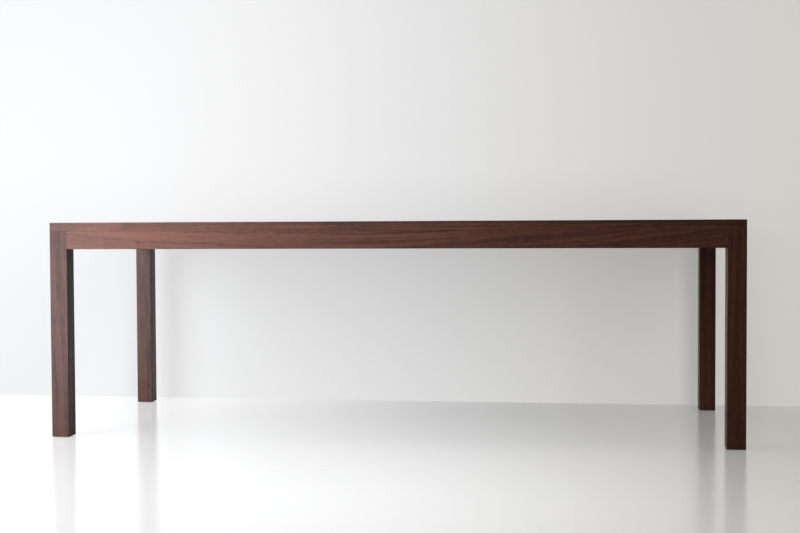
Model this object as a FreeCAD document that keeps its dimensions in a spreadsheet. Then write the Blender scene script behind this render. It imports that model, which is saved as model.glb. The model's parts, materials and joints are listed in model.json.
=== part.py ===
"""A long parsons dining table in solid walnut, as the separate pieces that a workshop makes and bolts together.

A glued-up top of long boards lies on a frame of four aprons. The aprons end in stub tenons that slip into the
legs, and a corner block with two hanger bolts pulls each leg tight, so the legs come off for moving. Cross
rails carry the middle of the top, and figure-of-eight clips hold the top to the aprons while the wood moves.

Millimetres. The origin is on the floor under the middle of the top, X runs along the length, the front is at
-Y and Z is up.
"""

import FreeCAD
import Part
import math
import os
import re

import Sketcher

# Driving dimensions: name, size, what it measures.
SIZES = [
    ("table_length", 2438.4, "overall length of the top"),
    ("table_width", 965.2, "overall width of the top"),
    ("table_height", 774.7, "floor to the face of the top"),
    ("top_thickness", 31.75, "thickness of the top's boards"),
    ("board_count", 7, "boards glued side by side in the top"),
    ("leg_side", 63.5, "side of the square leg"),
    ("apron_height", 63.5, "height of the aprons"),
    ("apron_thickness", 25.4, "thickness of the aprons"),
    ("eased_edge", 1.0, "radius of the eased arrises"),
    ("fit_gap", 0.15, "play round a tenon, a screw or a bolt in its own hole"),
    ("end_gap", 1.0, "play at the blind end of a mortise or hole"),
    ("head_play", 0.4, "play round a screw head, washer or clip in its recess"),
    ("tenon_length", 25.0, "apron tenon, along the apron"),
    ("tenon_thickness", 9.5, "apron tenon, across the apron"),
    ("tenon_shoulder", 9.75, "apron's shoulder above and below its tenon"),
    ("bolt_flat", 18.0, "width of the flat on the leg's inner corner"),
    ("flat_stop", 6.0, "how far above the apron's lower edge that flat stops"),
    ("block_gap", 5.0, "space between the leg's flat and the corner block"),
    ("block_thickness", 25.4, "corner block, along the bolts"),
    ("block_inset", 6.35, "corner block's edge to the apron's, above and below"),
    ("block_seat", 10.0, "wood under a block screw's head"),
    ("block_screw_edge", 13.4, "corner block's edge to its screws"),
    ("apron_cover", 7.4, "wood between a block screw's tip and the apron's outer face"),
    ("bolt_diameter", 8.0, "hanger bolt"),
    ("bolt_edge", 12.4, "corner block's edge to the hanger bolts"),
    ("bolt_grip", 40.0, "hanger bolt in the leg"),
    ("bolt_spare", 6.0, "hanger bolt past its nut"),
    ("bolt_play", 0.5, "play round a bolt in the corner block"),
    ("washer_diameter", 18.0, "hanger bolt's washer"),
    ("washer_thickness", 1.6, "hanger bolt's washer"),
    ("nut_width", 13.0, "hanger bolt's nut, across its flats"),
    ("nut_thickness", 6.5, "hanger bolt's nut"),
    ("rail_count", 3, "cross rails under the top"),
    ("rail_thickness", 25.4, "cross rail, along the table"),
    ("rail_rise", 19.05, "apron's lower edge to the cross rail's"),
    ("rail_tenon_length", 11.0, "cross rail's tenon in the apron"),
    ("rail_tenon_thickness", 12.7, "cross rail's tenon, along the table"),
    ("rail_shoulder", 8.2, "cross rail's shoulder above and below its tenon"),
    ("rail_seat", 22.0, "wood above a rail screw's washer"),
    ("rail_slot", 6.0, "travel that the slotted rail holes leave the top"),
    ("rail_washer_diameter", 12.0, "rail screw's washer"),
    ("rail_washer_thickness", 1.2, "rail screw's washer"),
    ("top_cover", 11.75, "wood between a rail screw's tip and the face of the top"),
    ("slip_length", 50.0, "loose tenon between boards, across the seam"),
    ("slip_width", 22.0, "loose tenon, along the seam"),
    ("slip_thickness", 8.0, "loose tenon"),
    ("slip_count", 7, "loose tenons along each seam"),
    ("slip_end", 160.0, "from the end of a board to its first loose tenon"),
    ("clip_disc", 20.0, "diameter of each half of a clip"),
    ("clip_spacing", 15.0, "between a clip's two holes"),
    ("clip_land", 0.9, "clip's plate past its countersink"),
    ("screw_diameter", 4.2, "wood screws"),
    ("screw_head", 8.4, "head of a wood screw"),
    ("screw_head_height", 3.0, "height of a domed head"),
    ("screw_point", 5.0, "length of a screw's point"),
    ("clip_screw_length", 19.0, "screws through the clips"),
    ("glide_diameter", 28.0, "glide under a leg"),
    ("glide_thickness", 5.0, "glide"),
    ("glide_stand", 2.0, "how far a glide stands out of the leg"),
    ("glide_rim", 1.0, "chamfer round a glide's foot"),
    ("glide_head_depth", 1.0, "how deep a glide's screw is sunk"),
    ("glide_screw_length", 19.0, "screw through a glide"),
]
SIZE_NAMES = {alias for alias, number, note in SIZES}

doc = FreeCAD.newDocument("ParsonsTable")
sheet = doc.addObject("Spreadsheet::Sheet", "Sizes")
for row, (alias, number, note) in enumerate(SIZES, start=1):
    sheet.set(f"A{row}", note)
    sheet.set(f"B{row}", str(number))
    sheet.setAlias(f"B{row}", alias)
doc.recompute()

# Derived sizes, as formulas of the driving ones.
FRAME_TOP = "(table_height - top_thickness)"
APRON_LOW = f"({FRAME_TOP} - apron_height)"
APRON_MIDDLE = "(apron_height / 2)"
JOINT_HEIGHT = f"({APRON_LOW} + {APRON_MIDDLE})"
TENON_HEIGHT = "(apron_height - 2 * tenon_shoulder)"
LEG_LENGTH = f"({FRAME_TOP} - glide_stand)"
BOARD_WIDTH = "(table_width / board_count)"
RAIL_PITCH = "(table_length / (rail_count + 1))"
RAIL_HEIGHT = "(apron_height - rail_rise)"
RAIL_TENON_HEIGHT = f"({RAIL_HEIGHT} - 2 * rail_shoulder)"
SLIP_PITCH = "((table_length - 2 * slip_end) / (slip_count - 1))"
SCREW_HOLE = "(screw_diameter + 2 * fit_gap)"
BOLT_HOLE = "(bolt_diameter + 2 * fit_gap)"
HEAD_CONE = "((screw_head - screw_diameter) / 2)"
CLIP_THICKNESS = f"({HEAD_CONE} + clip_land)"
CLIP_FIXED = "(apron_thickness - clip_spacing / 2)"
CLIP_REACH = f"({CLIP_FIXED} + clip_spacing)"
BLOCK_SCREW_BITE = "(apron_thickness - apron_cover)"
RAIL_SCREW_BITE = "(top_thickness - top_cover)"

# Corner block in plan, measured from the table's outer corner: its two long faces are the lines
# x + y = BLOCK_NEAR and x + y = BLOCK_FAR, square to the bolts, and its ends lie on the aprons.
FLAT_CUT = "(bolt_flat / sqrt(2))"
FLAT_PLACE = f"(leg_side - {FLAT_CUT} / 2)"
BLOCK_NEAR = f"(2 * {FLAT_PLACE} + block_gap * sqrt(2))"
BLOCK_FAR = f"({BLOCK_NEAR} + block_thickness * sqrt(2))"
BLOCK_HEIGHT = "(apron_height - 2 * block_inset)"
WING_PLACE = f"(({BLOCK_NEAR} + {BLOCK_FAR}) / 2 - apron_thickness)"
BOLT_STEPS = [f"({side} * ({BLOCK_HEIGHT} / 2 - bolt_edge))" for side in (-1, 1)]
BLOCK_SCREW_STEPS = [f"({side} * ({BLOCK_HEIGHT} / 2 - block_screw_edge))" for side in (-1, 1)]

# The four corners in plan: name, sign of X, sign of Y, turn about Z that points a corner's X and Y inwards.
CORNERS = [
    ("front_left", -1, -1, 0),
    ("front_right", 1, -1, 90),
    ("rear_right", 1, 1, 180),
    ("rear_left", -1, 1, 270),
]

X_AXIS = FreeCAD.Vector(1, 0, 0)
Y_AXIS = FreeCAD.Vector(0, 1, 0)
Z_AXIS = FreeCAD.Vector(0, 0, 1)
NO_TURN = FreeCAD.Rotation()
UPSIDE_DOWN = FreeCAD.Rotation(X_AXIS, 180)
# Turns the upright axis to the level line from an outer corner to the table's middle, at 45 degrees in plan.
TO_DIAGONAL = FreeCAD.Rotation(Z_AXIS, X_AXIS + Y_AXIS)
# Turns an XZ sketch to face along that same line.
FACE_DIAGONAL = FreeCAD.Rotation(Y_AXIS, 135)

pieces = []


# Formulas and sketches.

def value(formula):
    """The number that a formula of driving dimensions comes to."""
    return float(sheet.evalExpression(formula))


def count(alias):
    """A driving dimension that counts pieces."""
    return int(round(value(alias)))


def bind(thing, setting, formula):
    """Ties one setting of a document object to a formula of the driving dimensions."""
    def in_sheet(word):
        return "Sizes." + word[0] if word[0] in SIZE_NAMES else word[0]
    thing.setExpression(setting, re.sub(r"[a-z_]\w*", in_sheet, formula))


def spread(number, pitch):
    """Formulas for evenly spaced places about zero."""
    return [f"({i - (number - 1) / 2} * {pitch})" for i in range(number)]


def new_body(label, base=("0", "0", "0"), turn=NO_TURN):
    """An empty body, placed in the table by formulas."""
    body = doc.addObject("PartDesign::Body", "Body_" + label)
    body.Label = label
    body.Placement = FreeCAD.Placement(FreeCAD.Vector(), turn)
    for axis, formula in zip("xyz", base):
        bind(body, f"Placement.Base.{axis}", formula)
    return body


def new_sketch(body, role, shift=("0", "0", "0"), turn=NO_TURN):
    """A sketch on one of the body's own planes. The shift and turn are along the plane's own axes."""
    sketch = body.newObject("Sketcher::SketchObject", "Sketch")
    plane = next(o for o in body.Origin.OriginFeatures if o.Role == role)
    sketch.AttachmentSupport = [(plane, "")]
    sketch.MapMode = "FlatFace"
    sketch.AttachmentOffset = FreeCAD.Placement(FreeCAD.Vector(), turn)
    for axis, formula in zip("xyz", shift):
        bind(sketch, f"AttachmentOffset.Base.{axis}", formula)
    return sketch


def dimension(sketch, kind, where, formula):
    """A sketch dimension tied to a formula."""
    index = sketch.addConstraint(Sketcher.Constraint(kind, *where, value(formula)))
    bind(sketch, f"Constraints[{index}]", formula)


def place_point(sketch, line, end, x, y):
    """Dimensions one point of the sketch from its origin."""
    dimension(sketch, "DistanceX", (-1, 1, line, end), x)
    dimension(sketch, "DistanceY", (-1, 1, line, end), y)


def outline(sketch, corners):
    """A closed outline of straight lines through corners that are given as pairs of formulas."""
    points = [FreeCAD.Vector(value(x), value(y), 0) for x, y in corners]
    first = sketch.GeometryCount
    following = list(range(1, len(points))) + [0]
    for i, j in enumerate(following):
        sketch.addGeometry(Part.LineSegment(points[i], points[j]), False)
    for i, j in enumerate(following):
        sketch.addConstraint(Sketcher.Constraint("Coincident", first + i, 2, first + j, 1))
    for i, (x, y) in enumerate(corners):
        place_point(sketch, first + i, 1, x, y)


def rectangle(sketch, x, y, width, height):
    """A rectangle from its lower left corner."""
    right, top = f"({x} + {width})", f"({y} + {height})"
    outline(sketch, [(x, y), (right, y), (right, top), (x, top)])


def circle(sketch, x, y, diameter):
    """A circle about a centre."""
    middle = FreeCAD.Vector(value(x), value(y), 0)
    index = sketch.addGeometry(Part.Circle(middle, Z_AXIS, value(diameter) / 2), False)
    dimension(sketch, "Diameter", (index,), diameter)
    place_point(sketch, index, 3, x, y)


def round_slot(sketch, x, y, reach, width, upright=False):
    """A slot with round ends about a centre. The reach is between the centres of its ends."""
    along, across = (Y_AXIS, -X_AXIS) if upright else (X_AXIS, Y_AXIS)
    lean = math.pi / 2 if upright else 0.0
    middle = FreeCAD.Vector(value(x), value(y), 0)
    low, high = middle - along * (value(reach) / 2), middle + along * (value(reach) / 2)
    radius = value(width) / 2
    side = across * radius
    first = sketch.GeometryCount
    right, left = lean - math.pi / 2, lean + math.pi / 2
    sketch.addGeometry(Part.LineSegment(low - side, high - side), False)
    sketch.addGeometry(Part.ArcOfCircle(Part.Circle(high, Z_AXIS, radius), right, left), False)
    sketch.addGeometry(Part.LineSegment(high + side, low + side), False)
    sketch.addGeometry(Part.ArcOfCircle(Part.Circle(low, Z_AXIS, radius), left, right + 2 * math.pi), False)
    for i in range(4):
        sketch.addConstraint(Sketcher.Constraint("Tangent", first + i, 2, first + (i + 1) % 4, 1))
    dimension(sketch, "Radius", (first + 1,), f"({width} / 2)")
    for arc, sign in ((first + 1, "+"), (first + 3, "-")):
        step = f"{sign} {reach} / 2"
        place = (x, f"({y} {step})") if upright else (f"({x} {step})", y)
        place_point(sketch, arc, 3, *place)


# Features.

def pad(body, sketch, length, both_ways=False):
    """Adds the sketch's area, carried along its normal, or evenly to both sides of it."""
    feature = body.newObject("PartDesign::Pad", "Pad")
    feature.Profile = sketch
    feature.SideType = "Symmetric" if both_ways else "One side"
    bind(feature, "Length", length)
    doc.recompute()


def pocket(body, sketch, depth, along_normal=False):
    """Cuts the sketch's area out, against its normal unless told otherwise."""
    feature = body.newObject("PartDesign::Pocket", "Pocket")
    feature.Profile = sketch
    feature.Reversed = along_normal
    bind(feature, "Length", depth)
    doc.recompute()


def ease(body, chosen):
    """Rounds the arrises of the body so far that a test picks by their two end points."""
    base = body.Tip
    arrises = [
        f"Edge{i}"
        for i, edge in enumerate(base.Shape.Edges, start=1)
        if chosen(edge.Vertexes[0].Point, edge.Vertexes[-1].Point)
    ]
    feature = body.newObject("PartDesign::Fillet", "Eased")
    feature.Base = (base, arrises)
    bind(feature, "Radius", "eased_edge")
    doc.recompute()


def turned(label, profile):
    """A round body turned about Z from a profile of (radius, height) formulas."""
    body = new_body(label)
    sketch = new_sketch(body, "XZ_Plane")
    outline(sketch, profile)
    feature = body.newObject("PartDesign::Revolution", "Turned")
    feature.Profile = sketch
    feature.ReferenceAxis = (sketch, ["V_Axis"])
    feature.Angle = 360
    doc.recompute()
    return body


def same(a, b):
    """Two sizes that are alike but for rounding."""
    return abs(a - b) < 1e-4


# Places, and groups of like fittings.

def about_z(turn):
    """A turn in plan, in degrees."""
    return FreeCAD.Rotation(Z_AXIS, turn)


def place_at(x, y, z, turn=NO_TURN):
    """A placement from formulas."""
    return FreeCAD.Placement(FreeCAD.Vector(value(x), value(y), value(z)), turn)


def on_outline(sign_x, sign_y):
    """Formulas for a place on the table's outline, at a corner or in the middle of a side."""
    return f"({sign_x} * table_length / 2)", f"({sign_y} * table_width / 2)"


def repeat(label, pattern, places):
    """One named piece: a group of like solids, each a copy of the pattern body at its place."""
    copies = []
    for place in places:
        copy = pattern.Shape.copy()
        copy.Placement = place
        copies.append(copy)
    group = doc.addObject("Part::Feature", label)
    group.Label = label
    group.Shape = Part.makeCompound(copies)
    group.Placement = FreeCAD.Placement()
    pieces.append(group)


# Screws and washers: the tip points down, and the face that a head or washer sits on is at height zero.

def countersunk_screw(label, length):
    """A flat-headed wood screw. Its head's face is at height zero, and its length includes the head."""
    core = "(screw_diameter / 2)"
    return turned(label, [
        ("0", f"(-{length})"),
        (core, f"(screw_point - {length})"),
        (core, f"(-{HEAD_CONE})"),
        ("(screw_head / 2)", "0"),
        ("0", "0"),
    ])


def domed_screw(label, length):
    """A wood screw with a domed head that sits at height zero. The length is below the head."""
    core = "(screw_diameter / 2)"
    return turned(label, [
        ("0", f"(-{length})"),
        (core, f"(screw_point - {length})"),
        (core, "0"),
        ("(screw_head / 2)", "0"),
        ("(screw_head / 2)", "(screw_head_height / 2)"),
        ("(screw_head / 4)", "screw_head_height"),
        ("0", "screw_head_height"),
    ])


def washer(label, outer, hole, thickness):
    """A flat ring that stands on height zero."""
    return turned(label, [
        (f"({hole} / 2)", "0"),
        (f"({outer} / 2)", "0"),
        (f"({outer} / 2)", thickness),
        (f"({hole} / 2)", thickness),
    ])


# Legs: square posts with two stub mortises, a flat for the hanger bolts on the inner corner and a glide's seat.

def make_leg(name, sign_x, sign_y, turn):
    """A leg in its corner's frame, with the outer corner of its foot at the origin."""
    body = new_body(f"{name}_leg", (*on_outline(sign_x, sign_y), "glide_stand"), about_z(turn))
    section = new_sketch(body, "XY_Plane")
    rectangle(section, "0", "0", "leg_side", "leg_side")
    pad(body, section, LEG_LENGTH)
    top = value(LEG_LENGTH)
    ease(body, lambda a, b: not (same(a.z, top) and same(b.z, top)))

    joint = f"({LEG_LENGTH} - {APRON_MIDDLE})"
    across = "((apron_thickness - tenon_thickness) / 2 - fit_gap)"
    low = f"({joint} - {TENON_HEIGHT} / 2 - fit_gap)"
    size = ("(tenon_thickness + 2 * fit_gap)", f"({TENON_HEIGHT} + 2 * fit_gap)")
    for role, shift, along_normal in (("YZ_Plane", "leg_side", False), ("XZ_Plane", "(-leg_side)", True)):
        mortise = new_sketch(body, role, ("0", "0", shift))
        rectangle(mortise, across, low, *size)
        pocket(body, mortise, "(tenon_length + end_gap)", along_normal)

    flat = new_sketch(body, "XY_Plane", ("0", "0", LEG_LENGTH))
    past = "(leg_side + eased_edge)"
    start = f"(leg_side - {FLAT_CUT} - eased_edge)"
    outline(flat, [(past, start), (past, past), (start, past)])
    pocket(body, flat, "(apron_height - flat_stop)")

    bolt_holes = new_sketch(body, "XZ_Plane", (FLAT_PLACE, "0", f"(-{FLAT_PLACE})"), FACE_DIAGONAL)
    for step in BOLT_STEPS:
        circle(bolt_holes, "0", f"({joint} + {step})", BOLT_HOLE)
    pocket(body, bolt_holes, "(bolt_grip + end_gap)")

    middle = "(leg_side / 2)"
    for width, depth in (
        ("(glide_diameter + 2 * fit_gap)", "(glide_thickness - glide_stand)"),
        (SCREW_HOLE, "(glide_screw_length + glide_head_depth - glide_stand + end_gap)"),
    ):
        seat = new_sketch(body, "XY_Plane")
        circle(seat, middle, middle, width)
        pocket(body, seat, depth, along_normal=True)
    pieces.append(body)


# Aprons: rails flush with the legs' outer faces and tenoned into them, with clip recesses in the upper edge.

def make_apron(name, sign_x, sign_y, turn, half_run, clip_places, rail_places):
    """An apron along its own X, with its outer face at Y zero and its lower edge at Z zero. Half_run is half of
    the table's side that it runs along, legs included."""
    body = new_body(f"{name}_apron", (*on_outline(sign_x, sign_y), APRON_LOW), about_z(turn))
    shoulders = f"(2 * ({half_run} - leg_side))"
    section = new_sketch(body, "YZ_Plane")
    rectangle(section, "0", "0", "apron_thickness", "apron_height")
    pad(body, section, shoulders, both_ways=True)
    ease(body, lambda a, b: same(a.z, 0) and same(b.z, 0) and not same(a.x, b.x))

    tenons = new_sketch(body, "YZ_Plane")
    side = "((apron_thickness - tenon_thickness) / 2)"
    rectangle(tenons, side, "tenon_shoulder", "tenon_thickness", TENON_HEIGHT)
    pad(body, tenons, f"({shoulders} + 2 * tenon_length)", both_ways=True)

    for width, depth in (
        ("(clip_disc + 2 * head_play)", CLIP_THICKNESS),
        (SCREW_HOLE, "(clip_screw_length + end_gap)"),
    ):
        holes = new_sketch(body, "XY_Plane", ("0", "0", "apron_height"))
        for x in clip_places:
            circle(holes, x, CLIP_FIXED, width)
        pocket(body, holes, depth)

    inner_face = ("0", "0", "(-apron_thickness)")
    pilots = new_sketch(body, "XZ_Plane", inner_face)
    for sign in (-1, 1):
        x = f"({sign} * ({half_run} - {WING_PLACE}))"
        for step in BLOCK_SCREW_STEPS:
            circle(pilots, x, f"({APRON_MIDDLE} + {step})", SCREW_HOLE)
    pocket(body, pilots, f"({BLOCK_SCREW_BITE} + end_gap)", along_normal=True)

    if rail_places:
        mortises = new_sketch(body, "XZ_Plane", inner_face)
        width = "(rail_tenon_thickness + 2 * fit_gap)"
        height = f"({RAIL_TENON_HEIGHT} + 2 * fit_gap)"
        low = "(rail_rise + rail_shoulder - fit_gap)"
        for x in rail_places:
            rectangle(mortises, f"({x} - {width} / 2)", low, width, height)
        pocket(body, mortises, "(rail_tenon_length + end_gap)", along_normal=True)
    pieces.append(body)


# Corner blocks: braces across each inner corner, screwed to both aprons, that the hanger bolts pass through.

def make_corner_block(name, sign_x, sign_y, turn):
    """A corner block in its corner's frame, with its middle height at Z zero."""
    place = (*on_outline(sign_x, sign_y), JOINT_HEIGHT)
    body = new_body(f"{name}_corner_block", place, about_z(turn))
    plan = new_sketch(body, "XY_Plane")
    short, long = f"({BLOCK_NEAR} - apron_thickness)", f"({BLOCK_FAR} - apron_thickness)"
    outline(plan, [
        (short, "apron_thickness"),
        (long, "apron_thickness"),
        ("apron_thickness", long),
        ("apron_thickness", short),
    ])
    pad(body, plan, BLOCK_HEIGHT, both_ways=True)

    face = f"({BLOCK_FAR} / 2)"
    bolt_holes = new_sketch(body, "XZ_Plane", (face, "0", f"(-{face})"), FACE_DIAGONAL)
    for step in BOLT_STEPS:
        circle(bolt_holes, "0", step, "(bolt_diameter + 2 * bolt_play)")
    pocket(body, bolt_holes, "(block_thickness + block_gap)")

    seat = "(apron_thickness + block_seat)"
    for role, shift, outwards in (("XZ_Plane", f"(-{seat})", False), ("YZ_Plane", seat, True)):
        for width, depth, along_normal in (
            ("(screw_head + 2 * head_play)", "(2 * block_thickness)", outwards),
            (SCREW_HOLE, "(block_seat + end_gap)", not outwards),
        ):
            holes = new_sketch(body, role, ("0", "0", shift))
            for step in BLOCK_SCREW_STEPS:
                circle(holes, WING_PLACE, step, width)
            pocket(body, holes, depth, along_normal)
    pieces.append(body)


# Cross rails: bearers under the top, stub-tenoned into the long aprons, with screw holes up into the top.

def make_cross_rail(number, x, screw_places):
    """A cross rail along Y with its lower edge at Z zero. All its holes but a middle one are slots along Y."""
    body = new_body(f"cross_rail_{number}", (x, "0", f"({FRAME_TOP} - {RAIL_HEIGHT})"))
    run = "(table_width - 2 * apron_thickness)"
    section = new_sketch(body, "XZ_Plane")
    rectangle(section, "(-rail_thickness / 2)", "0", "rail_thickness", RAIL_HEIGHT)
    pad(body, section, run, both_ways=True)
    ease(body, lambda a, b: same(a.z, 0) and same(b.z, 0) and not same(a.y, b.y))

    tenons = new_sketch(body, "XZ_Plane")
    side = "(-rail_tenon_thickness / 2)"
    rectangle(tenons, side, "rail_shoulder", "rail_tenon_thickness", RAIL_TENON_HEIGHT)
    pad(body, tenons, f"({run} + 2 * rail_tenon_length)", both_ways=True)

    for width, depth, upwards in (
        ("(rail_washer_diameter + 2 * head_play)", RAIL_HEIGHT, False),
        (SCREW_HOLE, "(rail_seat + end_gap)", True),
    ):
        holes = new_sketch(body, "XY_Plane", ("0", "0", f"({RAIL_HEIGHT} - rail_seat)"))
        for y in screw_places:
            if same(value(y), 0):
                circle(holes, "0", y, width)
            else:
                round_slot(holes, "0", y, "rail_slot", width, upright=True)
        pocket(body, holes, depth, upwards)
    pieces.append(body)


# Top: boards glued edge to edge, lined up by loose tenons, with eased arrises round the outside.

def make_board(index, y, slip_places, clip_screws, rail_screws):
    """One board along X, with its underside at Z zero. The screw places are pairs of X and Y formulas."""
    body = new_body(f"top_board_{index + 1}", ("0", y, FRAME_TOP))
    section = new_sketch(body, "YZ_Plane")
    rectangle(section, f"(-{BOARD_WIDTH} / 2)", "0", BOARD_WIDTH, "top_thickness")
    pad(body, section, "table_length", both_ways=True)

    last = count("board_count") - 1
    free_sides = [side for side, end in ((-1, 0), (1, last)) if index == end]
    seam_sides = [side for side in (-1, 1) if side not in free_sides]

    def on_free_side(point):
        return any(same(point.y, side * value(BOARD_WIDTH) / 2) for side in free_sides)

    def on_outside(a, b):
        across_end = same(a.x, b.x) and same(a.z, b.z)
        return across_end or (on_free_side(a) and on_free_side(b))

    ease(body, on_outside)

    for side in seam_sides:
        slots = new_sketch(body, "XZ_Plane", ("0", "0", f"({-side} * {BOARD_WIDTH} / 2)"))
        for x in slip_places:
            width = "(slip_thickness + 2 * fit_gap)"
            round_slot(slots, x, "(top_thickness / 2)", "(slip_width - slip_thickness)", width)
        pocket(body, slots, "(slip_length / 2 + end_gap)", along_normal=side > 0)

    for screws, bite in (
        (clip_screws, f"(clip_screw_length - {CLIP_THICKNESS})"),
        (rail_screws, RAIL_SCREW_BITE),
    ):
        if screws:
            pilots = new_sketch(body, "XY_Plane")
            for x, across in screws:
                circle(pilots, x, f"({across} - {y})", SCREW_HOLE)
            pocket(body, pilots, f"({bite} + end_gap)", along_normal=True)
    pieces.append(body)


# Small fittings, made once and copied round the table.

def make_slip():
    """A loose tenon with round edges that lies across a seam, centred on the origin."""
    body = new_body("loose_tenon")
    section = new_sketch(body, "XZ_Plane")
    round_slot(section, "0", "0", "(slip_width - slip_thickness)", "slip_thickness")
    pad(body, section, "slip_length", both_ways=True)
    return body


def make_clip():
    """A figure-of-eight clip: two discs in line along Y, with its underside at Z zero. The first disc, let into
    the apron, is countersunk from above, the second from below. Its waist is over the apron's inner face."""
    body = new_body("clip")
    for y in ("0", "clip_spacing"):
        disc = new_sketch(body, "XY_Plane")
        circle(disc, "0", y, "clip_disc")
        pad(body, disc, CLIP_THICKNESS)
    for y, level, along_normal in (("0", CLIP_THICKNESS, False), ("clip_spacing", "0", True)):
        spot = new_sketch(body, "XY_Plane", ("0", "0", level))
        circle(spot, "0", y, SCREW_HOLE)
        hole = body.newObject("PartDesign::Hole", "Countersink")
        hole.Profile = spot
        doc.recompute()
        hole.Reversed = along_normal
        hole.DepthType = "ThroughAll"
        hole.ThreadType = "None"
        bind(hole, "Diameter", SCREW_HOLE)
        hole.HoleCutType = "Countersink"
        hole.HoleCutCustomValues = True
        bind(hole, "HoleCutDiameter", "(screw_head + 2 * fit_gap)")
        hole.HoleCutCountersinkAngle = 90
        doc.recompute()
    return body


def make_bolt(length):
    """A hanger bolt along Z: a point for the wood at the bottom, a chamfered end for the nut at the top."""
    radius, chamfer = "(bolt_diameter / 2)", "(bolt_diameter / 8)"
    return turned("bolt", [
        ("0", "0"),
        (radius, "bolt_diameter"),
        (radius, f"({length} - {chamfer})"),
        (f"({radius} - {chamfer})", length),
        ("0", length),
    ])


def make_nut():
    """A hexagon nut that stands on Z zero."""
    body = new_body("nut")
    plan = new_sketch(body, "XY_Plane")
    flat, corner = "(nut_width / 2)", "(nut_width / sqrt(3))"
    half = f"({corner} / 2)"
    right = [(half, f"(-{flat})"), (corner, "0"), (half, flat)]
    left = [(f"(-{half})", flat), (f"(-{corner})", "0"), (f"(-{half})", f"(-{flat})")]
    outline(plan, right + left)
    pad(body, plan, "nut_thickness")
    bore = new_sketch(body, "XY_Plane", ("0", "0", "nut_thickness"))
    circle(bore, "0", "0", BOLT_HOLE)
    pocket(body, bore, "(2 * nut_thickness)")
    return body


def make_glide():
    """A glide with its foot at Z zero: a disc with a chamfered rim and a sunk, countersunk screw hole."""
    edge, head, core = "(glide_diameter / 2)", "(screw_head / 2 + fit_gap)", f"({SCREW_HOLE} / 2)"
    return turned("glide", [
        (head, "0"),
        (f"({edge} - glide_rim)", "0"),
        (edge, "glide_rim"),
        (edge, "glide_thickness"),
        (core, "glide_thickness"),
        (core, f"(glide_head_depth + {head} - {core})"),
        (head, "glide_head_depth"),
    ])


# The frame and the top.

board_places = spread(count("board_count"), BOARD_WIDTH)
seam_places = spread(count("board_count") - 1, BOARD_WIDTH)
slip_places = spread(count("slip_count"), SLIP_PITCH)
rail_places = spread(count("rail_count"), RAIL_PITCH)
side_clips = spread(count("rail_count") + 1, RAIL_PITCH)
held_places = board_places[1:-1:2]
aprons = [
    ("front", 0, -1, 0, "(table_length / 2)", side_clips, rail_places),
    ("rear", 0, 1, 180, "(table_length / 2)", side_clips, rail_places),
    ("left", -1, 0, -90, "(table_width / 2)", held_places, []),
    ("right", 1, 0, 90, "(table_width / 2)", held_places, []),
]

for corner in CORNERS:
    make_leg(*corner)
    make_corner_block(*corner)
for apron in aprons:
    make_apron(*apron)
for number, x in enumerate(rail_places, start=1):
    make_cross_rail(number, x, held_places)

rail_screws = [(x, y) for y in held_places for x in rail_places]
clip_screws = [
    (x, f"({side} * (table_width / 2 - {CLIP_REACH}))") for side in (-1, 1) for x in side_clips
] + [
    (f"({side} * (table_length / 2 - {CLIP_REACH}))", y) for side in (-1, 1) for y in held_places
]


def within(screws, y):
    """The screws that go up into the board about y."""
    half = value(BOARD_WIDTH) / 2
    return [(x, across) for x, across in screws if abs(value(across) - value(y)) < half]


for index, y in enumerate(board_places):
    make_board(index, y, slip_places, within(clip_screws, y), within(rail_screws, y))
top_middle = f"({FRAME_TOP} + top_thickness / 2)"
slips = [place_at(x, y, top_middle) for y in seam_places for x in slip_places]
repeat("top_loose_tenons", make_slip(), slips)

# Hanger bolts along the corners' diagonals, with their washers and nuts on the corner blocks. Distances along
# a diagonal are measured from the table's outer corner.
corner_frames = [
    place_at(*on_outline(sign_x, sign_y), "0", about_z(turn)) for _, sign_x, sign_y, turn in CORNERS
]
bolt_tip = f"({FLAT_PLACE} * sqrt(2) - bolt_grip)"
block_face = f"({BLOCK_FAR} / sqrt(2))"
bolt_end = f"({block_face} + washer_thickness + nut_thickness + bolt_spare)"
for label, pattern, along in (
    ("hanger_bolts", make_bolt(f"({bolt_end} - {bolt_tip})"), bolt_tip),
    ("hanger_washers", washer("washer", "washer_diameter", BOLT_HOLE, "washer_thickness"), block_face),
    ("hanger_nuts", make_nut(), f"({block_face} + washer_thickness)"),
):
    inwards = f"({along} / sqrt(2))"
    repeat(label, pattern, [
        frame * place_at(inwards, inwards, f"({JOINT_HEIGHT} + {step})", TO_DIAGONAL)
        for frame in corner_frames for step in BOLT_STEPS
    ])

# Corner block screws, two through each wing into the apron behind it.
head_seat = "(apron_thickness + block_seat)"
wings = [(WING_PLACE, head_seat, Y_AXIS), (head_seat, WING_PLACE, X_AXIS)]
repeat("block_screws", domed_screw("block_screw", f"(block_seat + {BLOCK_SCREW_BITE})"), [
    frame * place_at(x, y, f"({JOINT_HEIGHT} + {step})", FreeCAD.Rotation(Z_AXIS, head_side))
    for frame in corner_frames for x, y, head_side in wings for step in BLOCK_SCREW_STEPS
])

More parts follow.
